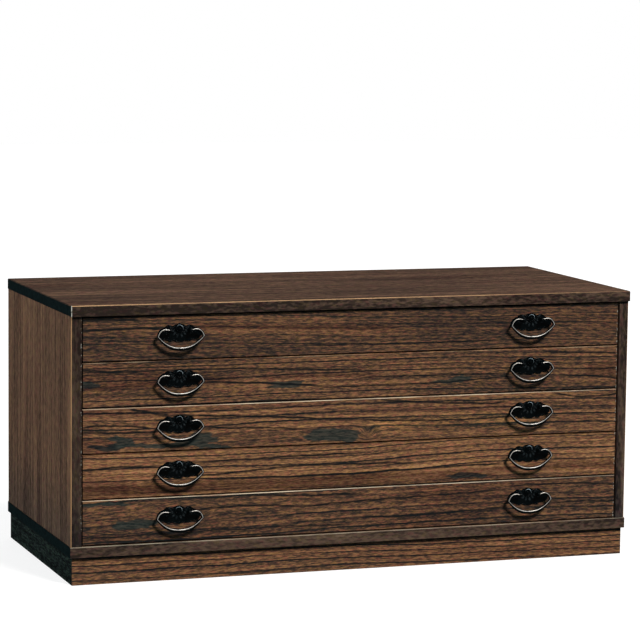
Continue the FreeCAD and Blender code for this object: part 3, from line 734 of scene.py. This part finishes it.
# The bail's bar: how wide it is in the bow's middle, how deep, and its section
BAR_MIDDLE = 6.2
BAR_DEPTH = 4.4
SECTION_POINTS = 32
SECTION_POWER = 0.95

# The bar's painted highlight, which also stands for iron rubbed bare by hands, as a turn about its section:
# 270 degrees is its front, and it leans upwards
RUB_TURN = math.radians(270.0)
RUB_LEAN = math.radians(35.0)

# The pins at the bail's ends, which turn in the eyes: places along X and shares of their radius
TRUNNION_END = 14.4
TRUNNION_RADIUS = 1.6
TRUNNION_POINTS = 16
TRUNNION = (
    (HOOK_X + 1.0, 0.96), (TRUNNION_END + 0.4, 0.96), (TRUNNION_END + 0.1, 0.85), (TRUNNION_END, 0.6),
)


def turns(count):
    """Angles that share out a full turn."""
    return [2 * math.pi * index / count for index in range(count)]


class Mesher:
    """Collects points and faces, in millimetres, and makes a mesh of them in metres."""

    def __init__(self):
        self.points = []
        self.crests = []
        self.faces = []

    def add_ring(self, points, crests=None):
        """Add one ring of points and return their numbers. A weight of 1 is where the metal shows its painted
        highlight in full.
        """
        start = len(self.points)
        self.points += points
        self.crests += crests or [0.0] * len(points)
        return list(range(start, len(self.points)))

    def bridge(self, first, second):
        """Join two rings of the same length with quads."""
        count = len(first)
        for index in range(count):
            after = (index + 1) % count
            self.faces.append((first[index], first[after], second[after], second[index]))

    def sweep(self, rings, crests=None):
        """Join a row of rings, and close both ends. The painted-highlight weights hold a list for each ring.
        """
        numbers = [self.add_ring(ring, crests and crests[index]) for index, ring in enumerate(rings)]
        for first, second in zip(numbers, numbers[1:]):
            self.bridge(first, second)
        self.faces.append(tuple(reversed(numbers[0])))
        self.faces.append(tuple(numbers[-1]))

    def loop(self, rings):
        """Join a row of rings into a closed loop."""
        numbers = [self.add_ring(ring) for ring in rings]
        for first, second in zip(numbers, numbers[1:] + numbers[:1]):
            self.bridge(first, second)

    def repeat(self, distance):
        """Copy everything so far to a place further along X as well."""
        start = len(self.points)
        self.points += [(x + distance, y, z) for x, y, z in self.points]
        self.crests += self.crests
        self.faces += [tuple(start + index for index in face) for face in self.faces]

    def mesh(self, name, material, smooth_angle):
        """The finished mesh, in metres, smooth but for edges sharper than an angle in degrees."""
        mesh = bpy.data.meshes.new(name)
        mesh.from_pydata([Vector(point) * MM for point in self.points], [], self.faces)
        mesh.validate()
        mesh.shade_smooth()
        mesh.set_sharp_from_angle(angle=math.radians(smooth_angle))
        mesh.attributes.new("crest", "FLOAT", "POINT").data.foreach_set("value", self.crests)
        mesh.materials.append(material)
        return mesh


def curve(start, end, bulge, steps, fullness=2.0):
    """Points on a curve from start to end that bulges to the left by a share of its chord."""
    across, up = end[0] - start[0], end[1] - start[1]
    points = []
    for index in range(steps + 1):
        share = index / steps
        rise = bulge * (1 - abs(1 - 2 * share) ** fullness)
        points.append((start[0] + across * share - up * rise, start[1] + up * share + across * rise))
    return points


def bail_edges():
    """The outer and the inner edge of the bail, from the left hook round the bow to the right hook."""
    outer_bulge = (BOW_DROP + TIP_Z) / (2 * TIP_X)
    inner_bulge = (BOW_DROP + TIP_Z - BAR_MIDDLE) / (2 * INNER_TIP_X)
    edges = []
    for half, tip_x, bulge in ((HOOK_HALF, TIP_X, outer_bulge), (-HOOK_HALF, INNER_TIP_X, inner_bulge)):
        hook = curve((-HOOK_X, half), (-tip_x, TIP_Z), -HOOK_BULGE, HOOK_STEPS)
        bow = curve((-tip_x, TIP_Z), (tip_x, TIP_Z), -bulge, BOW_STEPS, BOW_FULLNESS)
        edges.append(hook + bow[1:] + [(-x, z) for x, z in reversed(hook[:-1])])
    return edges


def bail_section(outer, inner):
    """A rounded section between an outer and an inner point of the bar's outline."""
    middle_x, middle_z = (outer[0] + inner[0]) / 2, (outer[1] + inner[1]) / 2
    half_x, half_z = (outer[0] - inner[0]) / 2, (outer[1] - inner[1]) / 2
    ring = []
    for turn in turns(SECTION_POINTS):
        outward, backward = (
            math.copysign(abs(share) ** SECTION_POWER, share) for share in (math.cos(turn), math.sin(turn))
        )
        ring.append((middle_x + half_x * outward, BAR_DEPTH / 2 * backward, middle_z + half_z * outward))
    return ring


def bail_mesh(material):
    """The bail: a bow with pointed shoulders and two hooks, and the pins that turn in the eyes."""
    mesher = Mesher()
    rings, crests = [], []
    for outer, inner in zip(*bail_edges()):
        rings.append(bail_section(outer, inner))
        # Weights for a painted highlight along the bar's front, leaning up, which also stands for iron rubbed
        # bare
        upright = (outer[1] - inner[1]) / math.dist(outer, inner)
        rubbed_at = RUB_TURN + RUB_LEAN * upright
        crests.append([max(0.0, math.cos(turn - rubbed_at)) for turn in turns(SECTION_POINTS)])
    mesher.sweep(rings, crests)
    for side in (-1, 1):
        rings = []
        for x, share in TRUNNION:
            radius = TRUNNION_RADIUS * share
            rings.append([
                (x * side, radius * math.cos(turn), -side * radius * math.sin(turn))
                for turn in turns(TRUNNION_POINTS)
            ])
        mesher.sweep(rings)
    return mesher.mesh("bail", material, smooth_angle=40.0)


# Backplate

# The outline as in the source: shares of the half width and the height, and the bulge of the next lobe
PLATE_HALF = 38.0
PLATE_RISE = 10.5
PLATE_HEIGHT = 30.0
PLATE_OUTLINE = (
    (0.00, 0.00, 0.06), (0.30, 0.13, 0.20), (0.68, 0.21, 0.17), (1.00, 0.65, 0.14),
    (0.60, 0.86, 0.20), (0.26, 0.90, 0.10), (0.00, 1.00, None),
)
LOBE_STEPS = 10

# The face is laid out in rings from a hub to the rim. The first ring and the rim's width are shares.
PLATE_HUB = (0.0, -3.0)
HUB_SHARE = 0.02
PLATE_RINGS = 30
PLATE_THICKNESS = 1.6
RIM_HEIGHT = 0.35
RIM_WIDTH = 0.035
EDGE_DROP = 0.35
EDGE_SPREAD = 1.004

# Leaves of the right half: foot, length, angle and half width
LEAVES = (
    ((5.5, 5.0), 11.0, 28.0, 2.6),
    ((9.0, 2.5), 14.0, 4.0, 2.8),
    ((7.0, 0.5), 13.0, -22.0, 2.7),
    ((5.0, -2.0), 13.0, -46.0, 2.6),
    ((2.0, -4.0), 13.0, -74.0, 2.6),
    ((22.5, 1.5), 11.0, -38.0, 2.4),
    ((16.0, -3.0), 10.0, -28.0, 2.2),
    ((12.0, 6.0), 9.0, 12.0, 1.8),
)
LEAF_HEIGHT = 0.95
LEAF_FADE = 14
# How strongly the leaves' relief carries painted glints
LEAF_CREST = 0.30
MIDRIB_DEPTH = 0.30
MIDRIB_WIDTH = 0.16
VEIN_DEPTH = 0.10
VEIN_COUNT = 5
VEIN_SLANT = 0.9

# Turned pieces on the plate, as (radius, height) pairs. One ring of the outer petals carries a painted
# highlight, brightest where it points up and a little to the right.
SEAT = ((4.6, 1.2), (4.6, 2.0), (4.2, 2.4), (3.6, 2.5), (3.5, 2.9), (3.3, 3.5), (2.9, 3.8), (0.4, 3.8))
OUTER_PETALS = (
    (6.8, 1.3), (6.8, 2.4), (6.5, 2.9), (6.0, 3.15), (5.5, 3.0), (5.0, 2.5), (4.6, 2.2), (0.4, 2.2),
)
INNER_PETALS = ((4.4, 2.0), (4.4, 2.7), (4.0, 3.2), (3.2, 3.3), (2.4, 2.9), (0.3, 2.9))
BUTTON = ((2.3, 2.9), (2.3, 3.7), (2.0, 4.25), (1.4, 4.55), (0.7, 4.6), (0.1, 4.5))
RUBBED_PETAL_RING = 3
RUBBED_PETAL_TURN = math.radians(25.0)
FLOWER_Z = 2.5
PETAL_POINTS = 96
BUTTON_POINTS = 32
SEAT_POINTS = 28

# Scallops of the two rows of petals: how many and how deep
OUTER_SCALLOPS = (12, 0.10)
INNER_SCALLOPS = (8, 0.34)


def plate_outline():
    """The scalloped outline, clockwise from its top point."""
    right = []
    for (across, down, bulge), (next_across, next_down, _) in zip(PLATE_OUTLINE, PLATE_OUTLINE[1:]):
        start = (PLATE_HALF * across, PLATE_RISE - PLATE_HEIGHT * down)
        end = (PLATE_HALF * next_across, PLATE_RISE - PLATE_HEIGHT * next_down)
        right += curve(start, end, bulge, LOBE_STEPS)[:-1]
    bottom = (0.0, PLATE_RISE - PLATE_HEIGHT)
    return right + [bottom] + [(-x, z) for x, z in right[:0:-1]]


def leaf_height(x, z):
    """The relief of the leaves over the plate at a place, in millimetres."""
    best = 0.0
    for (foot_x, foot_z), length, angle, half_width in LEAVES:
        turn = math.radians(angle)
        dx, dz = abs(x) - foot_x, z - foot_z
        along = (dx * math.cos(turn) + dz * math.sin(turn)) / length
        aside = (dz * math.cos(turn) - dx * math.sin(turn)) / half_width
        if not 0 < along < 1:
            continue
        reach = math.sin(math.pi * along ** 0.8)
        if abs(aside) >= reach:
            continue
        crown = 1 - (aside / reach) ** 2
        midrib = MIDRIB_DEPTH * math.exp(-(aside / MIDRIB_WIDTH) ** 2)
        veins = VEIN_DEPTH * math.cos((along * VEIN_COUNT - abs(aside) * VEIN_SLANT) * 2 * math.pi)
        best = max(best, (LEAF_HEIGHT * crown ** 0.6 - midrib + veins * crown) * reach ** 0.5)
    return best


def add_lathe(mesher, x, z, profile, count, petals=0, depth=0.0, rubbed_ring=None):
    """A turned boss on the plate, scalloped to a depth if it has petals."""
    rings = []
    for radius, height in profile:
        ring = []
        for turn in turns(count):
            scallop = 1 - depth * (1 - abs(math.cos(petals * turn / 2))) if petals else 1.0
            reach = radius * scallop
            ring.append((x + reach * math.sin(turn), PIVOT_STAND_OFF - height, z + reach * math.cos(turn)))
        rings.append(ring)
    # One ring may carry a painted highlight, brightest up and a little to the right
    rubbed = [(0.5 + 0.5 * math.cos(turn - RUBBED_PETAL_TURN)) ** 2 for turn in turns(count)]
    crests = [rubbed if index == rubbed_ring else [0.0] * count for index in range(len(profile))]
    mesher.sweep(rings, crests)


def add_plate(mesher):
    """One backplate: the carved plate, a seat for each pin, and two rows of petals round a domed button."""
    outline = plate_outline()
    hub_x, hub_z = PLATE_HUB
    numbers = []
    for index in range(PLATE_RINGS + 1):
        share = HUB_SHARE + (1 - HUB_SHARE) * (index / PLATE_RINGS)
        rim = RIM_HEIGHT * math.exp(-((1 - share) / RIM_WIDTH) ** 2)
        ring, crests = [], []
        for outline_x, outline_z in outline:
            x, z = hub_x + (outline_x - hub_x) * share, hub_z + (outline_z - hub_z) * share
            leaf = leaf_height(x, z) * min(1.0, (1 - share) * LEAF_FADE)
            ring.append((x, PIVOT_STAND_OFF - (PLATE_THICKNESS - RIM_HEIGHT + leaf + rim), z))
            # Painted glints on the leaves' tops
            crests.append(LEAF_CREST * leaf ** 2)
        numbers.append(mesher.add_ring(ring, crests))
    for height in (PLATE_THICKNESS - EDGE_DROP, 0.0):
        numbers.append(mesher.add_ring([(x * EDGE_SPREAD, PIVOT_STAND_OFF - height, z) for x, z in outline]))
    for first, second in zip(numbers, numbers[1:]):
        mesher.bridge(first, second)
    mesher.faces.append(tuple(reversed(numbers[0])))
    mesher.faces.append(tuple(numbers[-1]))
    add_lathe(mesher, 0.0, FLOWER_Z, OUTER_PETALS, PETAL_POINTS, *OUTER_SCALLOPS, RUBBED_PETAL_RING)
    add_lathe(mesher, 0.0, FLOWER_Z, INNER_PETALS, PETAL_POINTS, *INNER_SCALLOPS)
    add_lathe(mesher, 0.0, FLOWER_Z, BUTTON, BUTTON_POINTS)
    for side in (-1, 1):
        add_lathe(mesher, POST_HALF * side, 0.0, SEAT, SEAT_POINTS)


def plates_mesh(pitch, material):
    """The two backplates of a drawer."""
    mesher = Mesher()
    add_plate(mesher)
    mesher.repeat(pitch)
    return mesher.mesh("backplates", material, smooth_angle=50.0)


# Split pins

EYE_RADIUS = 3.8
EYE_HALF_WIDTH = 2.2
EYE_POINTS = 28
BORE_RADIUS = 1.66

# The eye's outer and inner points across its width, in shares of its half width and of its radius
EYE_OUTER = ((-1.0, 0.80), (-0.85, 0.94), (-0.5, 1.0), (0.5, 1.0), (0.85, 0.94), (1.0, 0.80))
EYE_INNER = (0.92, -0.92)

# The upper leg's middle line, as (Y, Z), through the front and clinched behind it
BEHIND_FRONT = PIVOT_STAND_OFF + FRONT_THICKNESS
LEG_PATH = (
    (3.2, 0.66), (BEHIND_FRONT - 1.4, 0.66), (BEHIND_FRONT - 0.5, 0.95), (BEHIND_FRONT + 0.2, 1.6),
    (BEHIND_FRONT + 0.65, 2.6), (BEHIND_FRONT + 0.65, 9.0), (BEHIND_FRONT + 0.6, 12.2),
)
LEG_SECTION = (
    (-1, -0.6), (-0.86, -1), (0.86, -1), (1, -0.6), (1, 0.6), (0.86, 1), (-0.86, 1), (-1, 0.6),
)
LEG_HALF_WIDTH = 2.15
LEG_HALF_THICKNESS = 0.62
LEG_TIP_TAPER = 0.55


def leg_rings(middle_x):
    """Sections of the upper leg of a split pin, across its path."""
    rings = []
    last = len(LEG_PATH) - 1
    for index, (y, z) in enumerate(LEG_PATH):
        before, after = LEG_PATH[max(index - 1, 0)], LEG_PATH[min(index + 1, last)]
        run, rise = after[0] - before[0], after[1] - before[1]
        length = math.hypot(run, rise)
        taper = LEG_TIP_TAPER if index == last else 1.0
        ring = []
        for across, off in LEG_SECTION:
            shift = LEG_HALF_THICKNESS * off * taper
            x = middle_x + LEG_HALF_WIDTH * across * taper
            ring.append((x, y - rise / length * shift, z + run / length * shift))
        rings.append(ring)
    return rings


def add_split_pin(mesher, middle_x):
    """One split pin: a round eye and two legs, clinched behind the drawer front."""
    rings = []
    for turn in turns(EYE_POINTS):
        corners = [(across, EYE_RADIUS * share) for across, share in EYE_OUTER]
        corners += [(across, BORE_RADIUS) for across in EYE_INNER]
        rings.append([
            (middle_x + EYE_HALF_WIDTH * across, radius * math.cos(turn), radius * math.sin(turn))
            for across, radius in corners
        ])
    mesher.loop(rings)
    upper = leg_rings(middle_x)
    mesher.sweep([[(x, y, -z) for x, y, z in reversed(ring)] for ring in upper])
    mesher.sweep(upper)


def pins_mesh(pitch, material):
    """The four split pins of a drawer."""
    mesher = Mesher()
    for side in (-1, 1):
        add_split_pin(mesher, POST_HALF * side)
    mesher.repeat(pitch)
    return mesher.mesh("split_pins", material, smooth_angle=45.0)


def add_piece(name, mesh, place, body, node):
    """Show a mesh in place of a CAD node, riding on a body."""
    piece = bpy.data.objects.new(name, mesh)
    bpy.context.scene.collection.objects.link(piece)
    piece.location = place
    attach(piece, body)
    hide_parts(node)


def add_handles():
    """The plates and split pins of each drawer, and its two bails."""
    joints = {joint["name"]: joint for joint in frame["joints"]}
    pivots = {name: joint["pos_m"] for name, joint in joints.items() if name.endswith("bail_pivot")}
    # The bail's bright line, the flower's arc and the leaves' glints are painted highlights; the bail's line
    # also stands for iron rubbed bare
    bail_iron = iron("lacquered_iron_bail", rubbed=(0.955, (144, 140, 134), 2.6), coat=0.03)
    plate_iron = iron(
        "lacquered_iron_plate", rubbed=(0.1, (150, 166, 172), 2.0), light=(3, 7, 8), coat=0.04,
        coat_roughness=0.13, bump=0.0009,
    )
    pin_iron = iron("lacquered_iron_pin", roughness=0.36)
    pitch = (pivots["drawer_1_right_bail_pivot"][0] - pivots["drawer_1_left_bail_pivot"][0]) / MM
    bail = bail_mesh(bail_iron)
    plates = plates_mesh(pitch, plate_iron)
    pins = pins_mesh(pitch, pin_iron)
    for number in DRAWERS:
        drawer = f"drawer_{number}"
        left = pivots[f"{drawer}_left_bail_pivot"]
        add_piece(f"{drawer}_carved_plates", plates, left, drawer, f"{drawer}_backplates")
        add_piece(f"{drawer}_forged_pins", pins, left, drawer, f"{drawer}_split_pins")
        for side in SIDES:
            body = f"{drawer}_{side}_bail"
            add_piece(f"{body}_forged", bail, pivots[f"{body}_pivot"], body, body)


# Stage

WHITE = (1.0, 1.0, 1.0, 1.0)
WORLD_COLOUR = (0.05, 0.12, 0.165, 1.0)
FLOOR_HALF = 12.0
FLOOR_COLOUR = (0.20, 0.20, 0.20, 1.0)
FLOOR_BOUNCE = (0.04, 0.07, 0.085, 1.0)
FLOOR_LIFT = 0.84

# Far lamps: azimuth, elevation, strength, width and colour. Azimuth 0 is in front of the chest and grows to
# its right, and the width is the lamp's angle. All angles are in degrees.
LAMPS = {
    "key": (24.0, 47.0, 5.4, 14.0, (1.0, 0.96, 0.93)),
    "left_fill": (-95.0, 9.0, 3.5, 40.0, (1.0, 0.98, 0.94)),
    "back_fill": (165.0, 42.0, 1.2, 40.0, (1.0, 0.95, 0.90)),
}


def make_floor():
    """A wide floor under the chest: pale to look at, and dim to the light that bounces off it."""
    half = FLOOR_HALF
    corners = [(-half, -half, 0), (half, -half, 0), (half, half, 0), (-half, half, 0)]
    mesh = bpy.data.meshes.new("floor")
    mesh.from_pydata(corners, [], [(0, 1, 2, 3)])
    floor = bpy.data.objects.new("floor", mesh)
    bpy.context.scene.collection.objects.link(floor)
    g = Paint("floor_paint")
    seen = g.background_rays()
    g.put(g.mix(seen, FLOOR_BOUNCE, FLOOR_COLOUR), g.shader.inputs["Base Color"])
    g.shader.inputs["Roughness"].default_value = 0.9
    g.shader.inputs["Specular IOR Level"].default_value = 0.0
    g.shader.inputs["Emission Color"].default_value = WHITE
    g.put(g.scaled(seen, FLOOR_LIFT), g.shader.inputs["Emission Strength"])
    mesh.materials.append(g.material)


def make_world():
    """White to look at, and a plain, even and slightly cool light on the chest."""
    world = bpy.data.worlds.new("studio")
    bpy.context.scene.world = world
    world.use_nodes = True
    g = Graph(world.node_tree)
    g.put(g.mix(g.background_rays(), WORLD_COLOUR, WHITE), g.nodes["Background"].inputs["Color"])


def add_lamp(name, azimuth, elevation, strength, width, colour):
    """One of the far lamps."""
    lamp = bpy.data.lights.new(name, "SUN")
    lamp.energy = strength
    lamp.color = colour
    lamp.angle = math.radians(width)
    turn, rise = math.radians(azimuth), math.radians(elevation)
    toward = Vector((math.sin(turn) * math.cos(rise), -math.cos(turn) * math.cos(rise), math.sin(rise)))
    holder = bpy.data.objects.new(name, lamp)
    holder.rotation_mode = "QUATERNION"
    holder.rotation_quaternion = toward.to_track_quat("Z", "Y")
    bpy.context.scene.collection.objects.link(holder)


# Camera at the photograph's angle

CAMERA_PLACE = (-1.6799, -4.8143, 1.0003)
CAMERA_YAW = 19.302
CAMERA_PITCH = 6.681
CAMERA_ROLL = 0.636
CAMERA_LENS = 164.54
CAMERA_SENSOR = 36.0
CAMERA_REACH = 100.0


def add_camera():
    """A camera that looks at the chest from the front left, a little above it."""
    camera = bpy.data.cameras.new("camera")
    camera.lens = CAMERA_LENS
    camera.sensor_width = CAMERA_SENSOR
    camera.clip_end = CAMERA_REACH
    yaw, pitch, roll = (math.radians(angle) for angle in (CAMERA_YAW, CAMERA_PITCH, CAMERA_ROLL))
    ahead = Vector((math.sin(yaw), math.cos(yaw), 0.0))
    up = Vector((0.0, 0.0, 1.0))
    right = Vector((math.cos(yaw), -math.sin(yaw), 0.0))
    forward = ahead * math.cos(pitch) - up * math.sin(pitch)
    top = up * math.cos(pitch) + ahead * math.sin(pitch)
    rolled_right = right * math.cos(roll) + top * math.sin(roll)
    rolled_top = top * math.cos(roll) - right * math.sin(roll)
    turned = Matrix((rolled_right, rolled_top, -forward)).transposed().to_4x4()
    holder = bpy.data.objects.new("camera", camera)
    holder.matrix_world = Matrix.Translation(CAMERA_PLACE) @ turned
    bpy.context.scene.collection.objects.link(holder)
    bpy.context.scene.camera = holder


dress_fronts()
dress_case()
dress_inside()
add_handles()
make_floor()
make_world()
for lamp_name, lamp_looks in LAMPS.items():
    add_lamp(lamp_name, *lamp_looks)
add_camera()
bpy.context.scene.view_settings.view_transform = "Standard"
